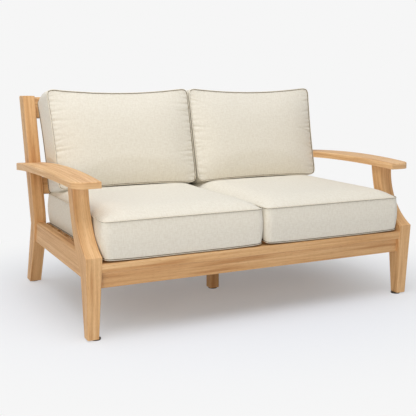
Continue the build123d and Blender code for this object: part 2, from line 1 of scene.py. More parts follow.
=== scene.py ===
import json
import math

import bpy
import numpy as np
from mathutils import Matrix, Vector
from mathutils.kdtree import KDTree


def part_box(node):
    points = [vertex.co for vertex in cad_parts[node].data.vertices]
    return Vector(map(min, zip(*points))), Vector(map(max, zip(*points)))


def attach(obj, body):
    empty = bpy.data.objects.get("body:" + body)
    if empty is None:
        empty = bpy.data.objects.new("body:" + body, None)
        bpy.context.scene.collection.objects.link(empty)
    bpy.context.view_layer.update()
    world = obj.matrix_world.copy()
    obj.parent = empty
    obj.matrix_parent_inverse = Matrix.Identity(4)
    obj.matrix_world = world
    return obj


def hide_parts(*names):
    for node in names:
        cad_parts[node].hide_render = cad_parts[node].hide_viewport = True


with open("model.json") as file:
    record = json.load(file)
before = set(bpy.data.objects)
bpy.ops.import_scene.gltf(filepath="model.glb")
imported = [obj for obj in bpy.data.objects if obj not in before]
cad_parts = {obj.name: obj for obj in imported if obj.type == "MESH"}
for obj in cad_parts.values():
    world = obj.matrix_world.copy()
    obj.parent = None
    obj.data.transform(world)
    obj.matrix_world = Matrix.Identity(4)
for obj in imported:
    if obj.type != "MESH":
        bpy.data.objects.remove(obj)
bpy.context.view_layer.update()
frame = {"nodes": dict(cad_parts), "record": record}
nodes = frame["nodes"]

# A two-seat garden sofa in oiled teak with four loose, piped cushions.
# Metres, +Z up, the sofa faces -Y.
MM = 0.001
SIDES = {"left": -1, "right": 1}


# Small helpers


def linear(colour):
    """A hex sRGB colour as linear red, green, blue and 1."""
    channels = [int(colour[i : i + 2], 16) / 255 for i in (1, 3, 5)]
    return [c / 12.92 if c <= 0.04045 else ((c + 0.055) / 1.055) ** 2.4 for c in channels] + [1.0]


def add_node(tree, kind, inputs=None, stops=(), points=(), **settings):
    """Add a node with its settings; an input is a value, or an output socket to link. Stops are the
    places and hex colours of a colour ramp, points those of a curve."""
    node = tree.nodes.new(kind)
    for place, _ in stops[1:-1]:
        node.color_ramp.elements.new(place)
    if stops:
        for element, (place, colour) in zip(node.color_ramp.elements, stops):
            element.position, element.color = place, linear(colour)
    if points:
        curve = node.mapping.curves[0]
        for place, value in points[1:-1]:
            curve.points.new(place, value)
        for end, (place, value) in ((0, points[0]), (-1, points[-1])):
            curve.points[end].location = (place, value)
        node.mapping.update()
    for name, value in settings.items():
        setattr(node, name, value)
    for name, value in (inputs or {}).items():
        socket = node.inputs[name]
        if isinstance(value, bpy.types.NodeSocket):
            tree.links.new(value, socket)
        else:
            socket.default_value = value
    return node


def new_material(name):
    """A material with an empty node tree, and that tree."""
    material = bpy.data.materials.new(name)
    material.use_nodes = True
    material.node_tree.nodes.clear()
    return material, material.node_tree


def finish_material(tree, shader):
    """Link a shader to the surface of its material."""
    add_node(tree, "ShaderNodeOutputMaterial", {"Surface": shader.outputs[0]})


# Materials
# Painted shade: the brown of the dark line where the piping cord sinks into its seam
SEAM_SHADE_BROWN = "#6A5A40"
# Moves in metres: one keeps a heart line within a curve's range of 0 to 1, the other keeps the
# edges of a board off the figure of its faces
CURVE_SHIFT = 0.5
EDGE_SHIFT = 0.7


def oiled_teak(name, turn, shift, pale, deep, heart=()):
    """Teak, sanded and oiled: honey brown with long, fairly straight figure, short dark pores along
    the grain and a low satin sheen. The grain runs along local X once turned, and follows the heart
    line of a bent board, given as heights and places along Y, both in metres."""
    material, tree = new_material(name)
    place = add_node(tree, "ShaderNodeTexCoord").outputs["Object"]
    if heart:
        split = add_node(tree, "ShaderNodeSeparateXYZ", {"Vector": place})
        points = [(height, y + CURVE_SHIFT) for height, y in heart]
        bend = add_node(tree, "ShaderNodeFloatCurve", {"Value": split.outputs["Z"]}, points=points)
        across = add_node(
            tree,
            "ShaderNodeMath",
            {0: split.outputs["Y"], 1: bend.outputs["Value"]},
            operation="SUBTRACT",
        )
        place = add_node(
            tree,
            "ShaderNodeCombineXYZ",
            {"X": split.outputs["X"], "Y": across.outputs[0], "Z": split.outputs["Z"]},
        ).outputs["Vector"]
    turned = add_node(
        tree, "ShaderNodeMapping", {"Vector": place, "Location": shift, "Rotation": turn}
    )
    split = add_node(tree, "ShaderNodeSeparateXYZ", {"Vector": turned.outputs["Vector"]})
    # each face shows the figure of its own width, as straight-grained boards do
    facing = add_node(
        tree,
        "ShaderNodeMapping",
        {
            "Vector": add_node(tree, "ShaderNodeTexCoord").outputs["Normal"],
            "Rotation": turn,
        },
        vector_type="VECTOR",
    )
    normal = add_node(tree, "ShaderNodeSeparateXYZ", {"Vector": facing.outputs["Vector"]})
    towards = [
        add_node(tree, "ShaderNodeMath", {0: normal.outputs[axis]}, operation="ABSOLUTE").outputs[0]
        for axis in ("Y", "Z")
    ]
    on_face = add_node(
        tree, "ShaderNodeMath", {0: towards[1], 1: towards[0]}, operation="GREATER_THAN"
    ).outputs[0]
    edge_figure = add_node(
        tree, "ShaderNodeMath", {0: split.outputs["Z"], 1: EDGE_SHIFT}, operation="ADD"
    ).outputs[0]
    width = add_node(
        tree, "ShaderNodeMix", {0: on_face, 2: edge_figure, 3: split.outputs["Y"]}
    ).outputs[0]
    board = add_node(
        tree, "ShaderNodeCombineXYZ", {"X": split.outputs["X"], "Y": width}
    ).outputs["Vector"]

    def grain(long_mm, across_mm, detail, distortion=0.0):
        """Noise stretched along the grain, from the real length and width of the figure."""
        scale = (1000 / long_mm, 1000 / across_mm, 1000 / across_mm)
        stretched = add_node(tree, "ShaderNodeMapping", {"Vector": board, "Scale": scale})
        return add_node(
            tree,
            "ShaderNodeTexNoise",
            {
                "Vector": stretched.outputs["Vector"],
                "Scale": 1.0,
                "Detail": detail,
                "Roughness": 0.55,
                "Distortion": distortion,
            },
        ).outputs["Fac"]

    # the rings are drawn wider than real ones so that they show
    tone = grain(900, 60, 1.0)
    rings = grain(700, 11, 3.0, 0.25)
    streaks = grain(420, 26, 1.0)
    fibre = grain(110, 2.2, 2.0)
    pores = grain(22, 1.3, 1.0)
    colour = add_node(
        tree, "ShaderNodeValToRGB", {"Fac": tone}, stops=[(0.34, deep), (0.66, pale)]
    ).outputs["Color"]
    tints = (
        (rings, 0.6, [(0.36, "#D9BF9C"), (0.5, "#F0E4D2"), (0.64, "#FFFFFF")]),
        (streaks, 0.55, [(0.3, "#CDAE84"), (0.44, "#FFFFFF")]),
        (fibre, 0.45, [(0.34, "#E2CFB4"), (0.6, "#FFFFFF")]),
        (pores, 0.3, [(0.32, "#B08C62"), (0.42, "#FFFFFF")]),
    )
    for figure, strength, stops in tints:
        tint = add_node(tree, "ShaderNodeValToRGB", {"Fac": figure}, stops=stops).outputs["Color"]
        colour = add_node(
            tree,
            "ShaderNodeMix",
            {0: strength, 6: colour, 7: tint},
            data_type="RGBA",
            blend_type="MULTIPLY",
        ).outputs[2]
    relief = add_node(tree, "ShaderNodeMath", {0: fibre, 1: pores}, operation="ADD").outputs[0]
    bump = add_node(
        tree,
        "ShaderNodeBump",
        {"Height": relief, "Strength": 0.3, "Distance": 0.2 * MM},
    ).outputs["Normal"]
    rough = add_node(
        tree, "ShaderNodeMapRange", {"Value": fibre, "To Min": 0.62, "To Max": 0.5}
    ).outputs["Result"]
    shader = add_node(
        tree,
        "ShaderNodeBsdfPrincipled",
        {"Base Color": colour, "Roughness": rough, "Normal": bump, "IOR": 1.47},
    )
    finish_material(tree, shader)
    return material


def woven_cloth(name, light, dark, thread_mm, sheen, shaded_foot=False):
    """Heathered outdoor cloth in a plain weave: matt, soft, with slubs of a darker yarn both ways.
    The weave follows the piece's own UV map, which is in metres. A cord can be given painted shade:
    brown along its foot, where the seam pulls it in; there its UV map's second value is low."""
    material, tree = new_material(name)
    cloth = add_node(tree, "ShaderNodeUVMap", uv_map="Cloth").outputs["UV"]

    def yarns(along_mm, across_mm, detail):
        """Noise stretched one way, from the real length and width of a yarn."""
        scale = (1000 / along_mm, 1000 / across_mm, 1.0)
        laid = add_node(tree, "ShaderNodeMapping", {"Vector": cloth, "Scale": scale})
        return add_node(
            tree,
            "ShaderNodeTexNoise",
            {"Vector": laid.outputs["Vector"], "Scale": 1.0, "Detail": detail, "Roughness": 0.6},
            noise_dimensions="2D",
        ).outputs["Fac"]

    weft = yarns(26, thread_mm, 2.0)
    warp = yarns(thread_mm, 26, 2.0)
    heather = yarns(9, 11, 4.0)
    slubs = add_node(tree, "ShaderNodeMath", {0: weft, 1: warp}, operation="ADD").outputs[0]
    # the mean of the three figures
    total = add_node(tree, "ShaderNodeMath", {0: slubs, 1: heather}, operation="ADD").outputs[0]
    mean = add_node(tree, "ShaderNodeMath", {0: total, 1: 3.0}, operation="DIVIDE").outputs[0]
    colour = add_node(
        tree, "ShaderNodeValToRGB", {"Fac": mean}, stops=[(0.38, dark), (0.6, light)]
    ).outputs["Color"]
    # painted shade: the cord turns brown along its foot, where it sinks into the seam and shade
    # falls
    if shaded_foot:
        lift = add_node(tree, "ShaderNodeSeparateXYZ", {"Vector": cloth}).outputs["Y"]
        foot = add_node(
            tree,
            "ShaderNodeMapRange",
            {"Value": lift, "From Min": 0.4 * MM, "From Max": 1.8 * MM},
            interpolation_type="SMOOTHSTEP",
        ).outputs["Result"]
        colour = add_node(
            tree,
            "ShaderNodeMix",
            {0: foot, 6: linear(SEAM_SHADE_BROWN), 7: colour},
            data_type="RGBA",
        ).outputs[2]
    # threads lie over and under each other; the pitch is drawn coarser than in real cloth
    waves = []
    for axis in range(2):
        scale = [0.0, 0.0, 0.0]
        scale[axis] = math.tau / (thread_mm * MM)
        laid = add_node(tree, "ShaderNodeMapping", {"Vector": cloth, "Scale": scale})
        split = add_node(tree, "ShaderNodeSeparateXYZ", {"Vector": laid.outputs["Vector"]})
        wave = add_node(tree, "ShaderNodeMath", {0: split.outputs[axis]}, operation="SINE")
        waves.append(wave.outputs[0])
    weave = add_node(
        tree, "ShaderNodeMath", {0: waves[0], 1: waves[1]}, operation="MULTIPLY"
    ).outputs[0]
    relief = add_node(
        tree, "ShaderNodeMath", {0: weave, 1: 0.25, 2: slubs}, operation="MULTIPLY_ADD"
    ).outputs[0]
    bump = add_node(
        tree,
        "ShaderNodeBump",
        {"Height": relief, "Strength": 0.5, "Distance": 0.4 * MM},
    ).outputs["Normal"]
    shader = add_node(
        tree,
        "ShaderNodeBsdfPrincipled",
        {
            "Base Color": colour,
            "Roughness": 0.93,
            "Normal": bump,
            "IOR": 1.45,
            "Specular IOR Level": 0.25,
            "Sheen Weight": sheen,
            "Sheen Roughness": 0.5,
        },
    )
    finish_material(tree, shader)
    return material


def plain_finish(name, light, dark, grain_mm, roughness, metallic=0.0):
    """A moulded or drawn finish with a fine mottled surface, for glides, zips and screws."""
    material, tree = new_material(name)
    place = add_node(tree, "ShaderNodeTexCoord").outputs["Object"]
    speckle = add_node(
        tree,
        "ShaderNodeTexNoise",
        {"Vector": place, "Scale": 1000 / grain_mm, "Detail": 2.0},
    ).outputs["Fac"]
    bump = add_node(
        tree, "ShaderNodeBump", {"Height": speckle, "Strength": 0.3, "Distance": 0.1 * MM}
    ).outputs["Normal"]
    colour = add_node(
        tree, "ShaderNodeValToRGB", {"Fac": speckle}, stops=[(0.3, dark), (0.7, light)]
    ).outputs["Color"]
    shader = add_node(
        tree,
        "ShaderNodeBsdfPrincipled",
        {
            "Base Color": colour,
            "Roughness": roughness,
            "Metallic": metallic,
            "Normal": bump,
        },
    )
    finish_material(tree, shader)
    return material


# Teak boards: each has its own piece of the tree, and its grain runs along its length
ALONG_X = (0.0, 0.0, 0.0)
ALONG_Y = (0.0, 0.0, -math.pi / 2)
BACK_RAKE = math.radians(14)
UPRIGHT = (0.0, math.pi / 2, 0.0)
UP_THE_BACK = (BACK_RAKE, math.pi / 2, 0.0)
# The heart lines of the sawn legs, as heights and places along Y in metres
FRONT_LEG_HEART = ((0.0, -0.453), (0.29, -0.447), (0.37, -0.375), (0.45, -0.335), (1.0, -0.26))
REAR_POST_HEART = ((0.0, 0.452), (0.25, 0.332), (0.34, 0.332), (1.0, 0.49))
GRAIN = {"centre_stretcher": ALONG_Y, "centre_leg": UPRIGHT}
for side in SIDES:
    for board in ("arm", "side_rail", "slat_cleat"):
        GRAIN[f"{board}_{side}"] = ALONG_Y
    for board in ("front_leg", "rear_post"):
        GRAIN[f"{board}_{side}"] = UPRIGHT
# Pale and deep tones: the arms take paler tones, painted light for their tops that face the lamps
ARM_LIT_TONES = ("#F0CC9E", "#E6BE90")
BOARD_TONES = ("#EBC594", "#DFB583")
# How far one board lies from the next in the figure, in metres
BOARD_STEPS = (0.37, 0.113, 0.071)
record_slots = {part["node"]: part["material_slot"] for part in frame["record"]["subparts"]}
boards = sorted(name for name, slot in record_slots.items() if slot in ("teak", "arm_teak"))
for number, name in enumerate(boards):
    turn = GRAIN.get(name, UP_THE_BACK if name.startswith("back_slat") else ALONG_X)
    shift = tuple(step * number for step in BOARD_STEPS)
    # the arms' paler tones are painted light
    pale, deep = ARM_LIT_TONES if name.startswith("arm") else BOARD_TONES
    heart = ()
    if name.startswith("front_leg"):
        heart = FRONT_LEG_HEART
    elif name.startswith("rear_post"):
        heart = REAR_POST_HEART
    board = nodes[name]
    board.data.materials.clear()
    board.data.materials.append(oiled_teak(f"oiled_teak_{name}", turn, shift, pale, deep, heart))

# Cover cloth: cream, heathered with a slightly darker yarn, with a soft sheen at grazing angles
cover_cloth = woven_cloth("heathered_cover_cloth", "#E9E4D7", "#DFD8C9", 2.4, 0.2)
# Piping: a finer cream cloth, with painted shade that turns it brown at the foot of the cord, in
# the seam
piping_cloth = woven_cloth(
    "bias_cut_piping_cloth", "#EAE3D3", "#DFD7C4", 2.0, 0.2, shaded_foot=True
)
# Nylon glides are moulded dark brownish grey, nearly matt
glide_nylon = plain_finish("moulded_nylon_glide", "#3A3632", "#24211F", 1.5, 0.6)
# Stainless countersunk screws: pale metal with a dull, fine-grained shine
screw_steel = plain_finish("stainless_screw_steel", "#B9B8B4", "#94938F", 0.8, 0.35, 1.0)
# The zips are sand coloured, matt and a little uneven
zip_tape = plain_finish("moulded_zip_tape", "#CFC7B2", "#B5AC95", 1.2, 0.7)
for name, finish in (
    ("foot_glides", glide_nylon),
    ("arm_screws", screw_steel),
    ("cleat_screws", screw_steel),
    ("slat_screws", screw_steel),
):
    nodes[name].data.materials.clear()
    nodes[name].data.materials.append(finish)
for side in SIDES:
    for kind in ("seat", "back"):
        for part in ("core", "piping", "zip"):
            node = nodes[f"{kind}_{part}_{side}"]
            node.data.materials.clear()
            node.data.materials.append(zip_tape if part == "zip" else piping_cloth)


# Cushions
# The cells of the cloth, how near to an edge a point still counts as on it, and what keeps a
# division off zero
CLOTH_CELL = 7.5 * MM
NEAR = 1e-4
HAIR = 1e-9
# The front edge's droop: how far in it reaches, and how much of it is lost at the corners
DROOP_REACH = 18 * MM
DROOP_LOSS_SHARE = 0.45
# How much of the top boxing's swell is lost at its ends, and how close to the sides the low seam
# lifts: the higher, the closer
SWELL_LOSS_SHARE = 0.35
SIDE_LIFT_POWER = 10
# Where the boxing's strips lie in the cloth coordinates, clear of the panels, in metres
SIDE_STRIP = 3
END_STRIP = 5


def grid_on_box(counts):
    """Points and quads on the skin of a box of unit cells; points are (i, j, k) lattice places."""
    index, points, quads = {}, [], []

    def point(place):
        if place not in index:
            index[place] = len(points)
            points.append(place)
        return index[place]

    for axis in range(3):
        a, b = [(1, 2), (2, 0), (0, 1)][axis]
        for level, flip in ((0, True), (counts[axis], False)):
            for i in range(counts[a]):
                for j in range(counts[b]):
                    corners = []
                    for di, dj in ((0, 0), (1, 0), (1, 1), (0, 1)):
                        place = [0, 0, 0]
                        place[axis], place[a], place[b] = level, i + di, j + dj
                        corners.append(point(tuple(place)))
                    quads.append(corners[::-1] if flip else corners)
    return np.array(points, float), quads


def rounded(x, y, half_x, half_y, radius):
    """Move points in a rectangle outwards or inwards so that its corners are round."""
    cx, cy = half_x - radius, half_y - radius
    over_x, over_y = np.abs(x) - cx, np.abs(y) - cy
    corner = (over_x > 0) & (over_y > 0)
    reach = np.maximum(over_x, over_y)
    length = np.hypot(over_x, over_y)
    share = np.where(corner, reach / np.maximum(length, HAIR), 1.0)
    new_x = np.where(corner, np.sign(x) * (cx + over_x * share), x)
    new_y = np.where(corner, np.sign(y) * (cy + over_y * share), y)
    return new_x, new_y


class Form:
    """The shape of one kind of cushion, in its own plane: across, along and through."""

    def __init__(self, **sizes):
        self.__dict__.update(sizes)


def belly(v, peak, low_power, high_power):
    """A crown's profile from its low seam at -1 to its high seam at 1, fullest at the peak."""
    below = 1 - np.abs((peak - v) / (1 + peak)) ** low_power
    above = 1 - np.abs((v - peak) / (1 - peak)) ** high_power
    return np.where(v < peak, below, above)


def cushion_mesh(name, form, mirror):
    """The skin of a boxed cushion with cloth coordinates, its two seam loops, and which points are
    sewn."""
    width = form.width
    counts = [round(width / CLOTH_CELL), round(form.along_top / CLOTH_CELL), form.rows]
    lattice, quads = grid_on_box(counts)
    unit = lattice / np.array(counts, float)
    u, v, w = 2 * unit[:, 0] - 1, 2 * unit[:, 1] - 1, unit[:, 2]
    half_y = (form.high - form.low) / 2
    middle_y = (form.high + form.low) / 2
    half_x = width / 2
    x, y = rounded(u * half_x, v * half_y, half_x, half_y, form.corner)
    # which way the boxing faces, taken from the round-cornered outline before it is drawn in
    outward = np.stack(
        [
            np.sign(x) * np.maximum(np.abs(x) - half_x + form.corner, 0),
            np.sign(y) * np.maximum(np.abs(y) - half_y + form.corner, 0),
        ],
        1,
    )
    outward /= np.maximum(np.linalg.norm(outward, axis=1, keepdims=True), HAIR)
    across, up = x / half_x, y / half_y
    x -= np.where(across > 0, form.draw_side, form.draw_middle) * (1 - up**2) * across
    y -= np.where(up > 0, form.draw_high, form.draw_low) * (1 - across**2) * up
    # the far side leans outwards towards the high edge, and the side in the middle leans inwards
    x += (up + 1) / 2 * np.where(across > 0, form.widen * across, form.widen_middle * across)
    edge = np.maximum(np.abs(u), np.abs(v)) >= 1 - HAIR
    front = (w >= 1 - HAIR) & ~edge
    rear = (w <= HAIR) & ~edge
    z = form.rear_seam + (form.front_seam - form.rear_seam) * w
    side_crown = 1 - np.abs(u) ** form.side_power
    crown = form.front_crown * side_crown * belly(v, *form.front_belly)
    if form.pressed_slope:
        # where the back cushion lies on it, the top is pressed to a slope
        ceiling = (1 - v) * half_y * form.pressed_slope
        blend = form.press_blend
        crown = -np.logaddexp(-crown / blend, -ceiling / blend) * blend
        crown += blend * math.log(2) * np.exp(-(1 - v) * half_y / blend)
    z = np.where(front, form.front_seam + np.maximum(crown, 0), z)
    z = np.where(rear, form.rear_seam - form.rear_crown * side_crown * (1 - v**4), z)
    # the lower seam lifts a little along the sides
    z += form.side_lift * (1 - w) * (1 - v**2) * np.abs(u) ** SIDE_LIFT_POWER
    # the front edge hangs a little over the first slat
    from_front = (1 + v) * half_y
    droop = form.front_drop * (1 - DROOP_LOSS_SHARE * across**4) * (1 - w)
    z -= droop * np.exp(-((from_front / DROOP_REACH) ** 2))
    swell = np.sin(math.pi * w) * edge
    x += swell * outward[:, 0] * np.where(across > 0, form.swell, form.swell_middle)
    top_swell = form.swell_high * (1 - SWELL_LOSS_SHARE * across**4)
    y += swell * outward[:, 1] * np.where(up > 0, top_swell, form.swell)
    local = np.stack([form.middle + x, middle_y + y, z], 1)
    if mirror:
        local[:, 0] *= -1
        quads = [quad[::-1] for quad in quads]
    world = local @ form.turn.T + form.origin
    sewn = edge & ((w >= 1 - HAIR) | (w <= HAIR))

    mesh = bpy.data.meshes.new(name)
    mesh.from_pydata(world.tolist(), [], quads)
    # where each point lies in the unit box, for the creases that are added later
    mesh.attributes.new("unit", "FLOAT_VECTOR", "POINT").data.foreach_set("vector", unit.ravel())
    mesh.polygons.foreach_set("use_smooth", [True] * len(quads))
    # cloth coordinates in metres: panels lie flat, boxing runs round the cushion
    layer = mesh.uv_layers.new(name="Cloth")
    loop_vertex = np.empty(len(mesh.loops), int)
    mesh.loops.foreach_get("vertex_index", loop_vertex)
    corner_counts = [len(face.vertices) for face in mesh.polygons]
    face_of_loop = np.repeat(np.arange(len(mesh.polygons)), corner_counts)
    units = unit[loop_vertex]
    centres = np.array([unit[list(face.vertices)].mean(0) for face in mesh.polygons])
    centre = centres[face_of_loop]
    on_panel = (centre[:, 2] < NEAR) | (centre[:, 2] > 1 - NEAR)
    on_side = (centre[:, 0] < NEAR) | (centre[:, 0] > 1 - NEAR)
    depth = form.front_seam - form.rear_seam
    along = form.along_top
    cloth = np.where(
        on_panel[:, None],
        np.stack([units[:, 0] * width, units[:, 1] * along], 1),
        np.where(
            on_side[:, None],
            np.stack([SIDE_STRIP + units[:, 1] * along, units[:, 2] * depth], 1),
            np.stack([END_STRIP + units[:, 0] * width, units[:, 2] * depth], 1),
        ),
    )
    layer.data.foreach_set("uv", cloth.ravel())
    cushion = bpy.data.objects.new(name, mesh)
    bpy.context.scene.collection.objects.link(cushion)
    # the two seam loops, in order round the cushion, the rear one first
    ring = [(i, 0) for i in range(counts[0])]
    ring += [(counts[0], j) for j in range(counts[1])]
    ring += [(i, counts[1]) for i in range(counts[0], 0, -1)]
    ring += [(0, j) for j in range(counts[1], 0, -1)]
    number = {tuple(int(c) for c in place): n for n, place in enumerate(lattice)}
    seams = [[number[(i, j, level)] for i, j in ring] for level in (0, counts[2])]
    return cushion, seams, sewn


# Creases: how far they run in, their width, slant, strength and spacing, each drawn between two
# values, then the length at a seam's ends that has none, and how far the cord holds the cloth flat
CREASE_REACH_MM = (14, 45)
CREASE_WIDTH_MM = (4.0, 6.5)
CREASE_SLANT = (-0.3, 0.3)
CREASE_STRENGTH = (0.35, 1.0)
CREASE_SPACING_MM = (12, 30)
CREASE_FREE_END = 0.02
HELD_BY_CORD = 5 * MM


def pucker(along, depth_in, length, seed):
    """Short creases that run inwards from a seam: how deep the cloth is pulled in, as a share."""
    chance = np.random.default_rng(seed)
    pulled = np.zeros_like(along)
    place = CREASE_FREE_END
    while place < length - CREASE_FREE_END:
        reach = chance.uniform(*CREASE_REACH_MM) * MM
        width = chance.uniform(*CREASE_WIDTH_MM) * MM
        slant = chance.uniform(*CREASE_SLANT)
        strength = chance.uniform(*CREASE_STRENGTH)
        crease = np.exp(-(((along - place - slant * depth_in) / width) ** 2))
        pulled += strength * crease * np.exp(-depth_in / reach)
        place += chance.uniform(*CREASE_SPACING_MM) * MM
    return pulled


def dress_surface(cushion, form, seed, mirror):
    """After the filling: creases at the front seam, and the flat places that the form's limit
    presses."""
    count = len(cushion.data.vertices)
    world, unit = np.empty(count * 3), np.empty(count * 3)
    cushion.data.vertices.foreach_get("co", world)
    cushion.data.attributes["unit"].data.foreach_get("vector", unit)
    unit = unit.reshape(-1, 3)
    local = (world.reshape(-1, 3) - form.origin) @ form.turn
    if mirror:
        local[:, 0] *= -1
    u, v, w = 2 * unit[:, 0] - 1, 2 * unit[:, 1] - 1, unit[:, 2]
    face = (w > 1 - NEAR) & (np.maximum(np.abs(u), np.abs(v)) < 1 - NEAR)
    half_x, half_y = form.width / 2, (form.high - form.low) / 2
    along, across = (v + 1) * half_y, (u + 1) * half_x
    # the four stretches of the seam, the two sides first: distance from it, run along it, its
    # length, and how much of the full crease it has
    for edge, (distance, run, length, share) in enumerate(
        (
            ((1 - u) * half_x, along, 2 * half_y, 1.0),
            ((1 + u) * half_x, along, 2 * half_y, 1.0),
            ((1 - v) * half_y, across, 2 * half_x, 0.35),
            ((1 + v) * half_y, across, 2 * half_x, 0.2),
        )
    ):
        pulled = pucker(run, distance, length, seed + edge)
        # no crease right at the seam, where the cord holds the cloth
        held = np.clip(distance / HELD_BY_CORD, 0, 1)
        local[:, 2] -= np.where(face, form.pucker * share * pulled * held, 0)
    form.limit(local)
    if mirror:
        local[:, 0] *= -1
    cushion.data.vertices.foreach_set("co", (local @ form.turn.T + form.origin).ravel())
    cushion.data.update()


# How often the waves of the filled cloth are evened out
EVENING_STEPS = 60


def sew_and_fill(cushion, sewn, form):
    """Fill the sewn cover with air for a moment and keep its fuller shape, up to the form's cap."""
    rest = np.empty(len(cushion.data.vertices) * 3)
    cushion.data.vertices.foreach_get("co", rest)
    rest = rest.reshape(-1, 3)
    group = cushion.vertex_groups.new(name="sewn")
    group.add([int(i) for i in np.nonzero(sewn)[0]], 1.0, "REPLACE")
    cloth = cushion.modifiers.new("Filling", "CLOTH")
    settings = cloth.settings
    settings.quality = 6
    settings.mass = 0.3
    settings.tension_stiffness = 18
    settings.compression_stiffness = 18
    settings.shear_stiffness = 6
    settings.bending_stiffness = form.stiffness
    settings.air_damping = 2
    settings.use_pressure = True
    settings.uniform_pressure_force = form.pressure
    settings.shrink_min = -form.ease
    settings.vertex_group_mass = "sewn"
    settings.effector_weights.gravity = 0
    cloth.collision_settings.use_collision = False
    cloth.point_cache.frame_start = 1
    cloth.point_cache.frame_end = form.frames
    scene = bpy.context.scene
    scene.frame_start, scene.frame_end = 1, form.frames
    for step in range(1, form.frames + 1):
        scene.frame_set(step)
    depsgraph = bpy.context.evaluated_depsgraph_get()
    filled = bpy.data.meshes.new_from_object(cushion.evaluated_get(depsgraph))
    blown = np.empty(len(filled.vertices) * 3)
    filled.vertices.foreach_get("co", blown)
    blown = blown.reshape(-1, 3)
    bpy.data.meshes.remove(filled)
    cushion.modifiers.remove(cloth)
    scene.frame_set(1)
    move = blown - rest
    # the waves that still run through the cloth are evened out: each step takes the mean of a
    # point's own move and that of its neighbours
    ends = np.array([edge.vertices[:] for edge in cushion.data.edges])
    around = np.bincount(ends.ravel(), minlength=len(rest))[:, None]
    for _ in range(EVENING_STEPS):
        total = np.zeros_like(move)
        np.add.at(total, ends[:, 0], move[ends[:, 1]])
        np.add.at(total, ends[:, 1], move[ends[:, 0]])
        move = np.where(sewn[:, None], 0, (move + total / around) / 2)
    length = np.linalg.norm(move, axis=1, keepdims=True)
    move *= form.cap * np.tanh(length / form.cap) / np.maximum(length, HAIR)
    cushion.data.vertices.foreach_set("co", (rest + move).ravel())
    cushion.data.update()


def tube_tree():
    """Geometry nodes: a cord along the edges of the given loops, with a material."""
    tree = bpy.data.node_groups.new("Sewn piping", "GeometryNodeTree")
    tree.interface.new_socket("Geometry", in_out="INPUT", socket_type="NodeSocketGeometry")
    tree.interface.new_socket("Cord radius", in_out="INPUT", socket_type="NodeSocketFloat")
    tree.interface.new_socket("Cord sides", in_out="INPUT", socket_type="NodeSocketInt")
    tree.interface.new_socket("Cord cloth", in_out="INPUT", socket_type="NodeSocketMaterial")
    tree.interface.new_socket("Geometry", in_out="OUTPUT", socket_type="NodeSocketGeometry")
    given = add_node(tree, "NodeGroupInput").outputs
    path = add_node(tree, "GeometryNodeMeshToCurve", {"Mesh": given["Geometry"]})
    section = add_node(
        tree,
        "GeometryNodeCurvePrimitiveCircle",
        {"Resolution": given["Cord sides"], "Radius": given["Cord radius"]},
    )
    cord = add_node(
        tree,
        "GeometryNodeCurveToMesh",
        {"Curve": path.outputs[0], "Profile Curve": section.outputs["Curve"]},
    )
    smooth = add_node(tree, "GeometryNodeSetShadeSmooth", {"Geometry": cord.outputs[0]})
    real = add_node(tree, "GeometryNodeRealizeInstances", {"Geometry": smooth.outputs[0]})
    dressed = add_node(
        tree,
        "GeometryNodeSetMaterial",
        {"Geometry": real.outputs[0], "Material": given["Cord cloth"]},
    )
    add_node(tree, "NodeGroupOutput", {"Geometry": dressed.outputs[0]})
    return tree


def through_nodes(name, mesh, tree, values):
    """Run a mesh through a geometry node tree and keep the result as a plain mesh."""
    thing = bpy.data.objects.new(name, mesh)
    bpy.context.scene.collection.objects.link(thing)
    modifier = thing.modifiers.new("Nodes", "NODES")
    modifier.node_group = tree
    for item in tree.interface.items_tree:
        if item.item_type == "SOCKET" and item.in_out == "INPUT" and item.name in values:
            modifier[item.identifier] = values[item.name]
    depsgraph = bpy.context.evaluated_depsgraph_get()
    made = bpy.data.meshes.new_from_object(thing.evaluated_get(depsgraph))
    thing.modifiers.remove(modifier)
    thing.data = made
    bpy.data.meshes.remove(mesh)
    return thing


piping_tree = tube_tree()
PIPING_RADIUS = 2.6 * MM
PIPING_SIDES = 10
# How far the cord's middle stands out of the seam, as a share of its radius, and how often its
# path is eased
STAND_OUT_SHARE = 0.6
EASING_STEPS = 2


def add_piping(cushion, name, seams):
    """Piping that is sewn into both seams of a finished cushion."""
    points = np.array([vertex.co for vertex in cushion.data.vertices])
    normals = np.array([vertex.normal for vertex in cushion.data.vertices])
    loops, edges = [], []
    for number, ring in enumerate(seams):
        loop = points[ring] + normals[ring] * PIPING_RADIUS * STAND_OUT_SHARE
        for _ in range(EASING_STEPS):
            loop = (np.roll(loop, 1, 0) + 2 * loop + np.roll(loop, -1, 0)) / 4
        count = len(loop)
        start = number * count
        edges += [(start + i, start + (i + 1) % count) for i in range(count)]
        loops.append(loop)
    spots = np.concatenate(loops)
    outward = np.concatenate([normals[ring] for ring in seams])
    mesh = bpy.data.meshes.new(name + "_path")
    mesh.from_pydata(spots.tolist(), edges, [])
    piping = through_nodes(
        name,
        mesh,
        piping_tree,
        {"Cord radius": PIPING_RADIUS, "Cord sides": PIPING_SIDES, "Cord cloth": piping_cloth},
    )
    # cloth coordinates in metres: one that changes along the cord, and how far a point stands out
    # from the seam
    tree = KDTree(len(spots))
    for number, spot in enumerate(spots):
        tree.insert(spot, number)
    tree.balance()
    laid = []
    for vertex in piping.data.vertices:
        place, number, _ = tree.find(vertex.co)
        laid.append((sum(vertex.co), float(np.dot(vertex.co - place, outward[number]))))
    layer = piping.data.uv_layers.new(name="Cloth")
    corner = np.empty(len(piping.data.loops), int)
    piping.data.loops.foreach_get("vertex_index", corner)
    layer.data.foreach_set("uv", np.array(laid)[corner].ravel())
    return piping


# How far back the seat's rear boxing may swell: just within the outside of the CAD piping. The zip
# lies a few millimetres further in, so the swollen boxing covers it.
SEAT_REAR_LIMIT = 288.8 * MM


def press_seat(local):
    """The rear boxing is pressed flat at its limit."""
    local[:, 1] = np.minimum(local[:, 1], SEAT_REAR_LIMIT)
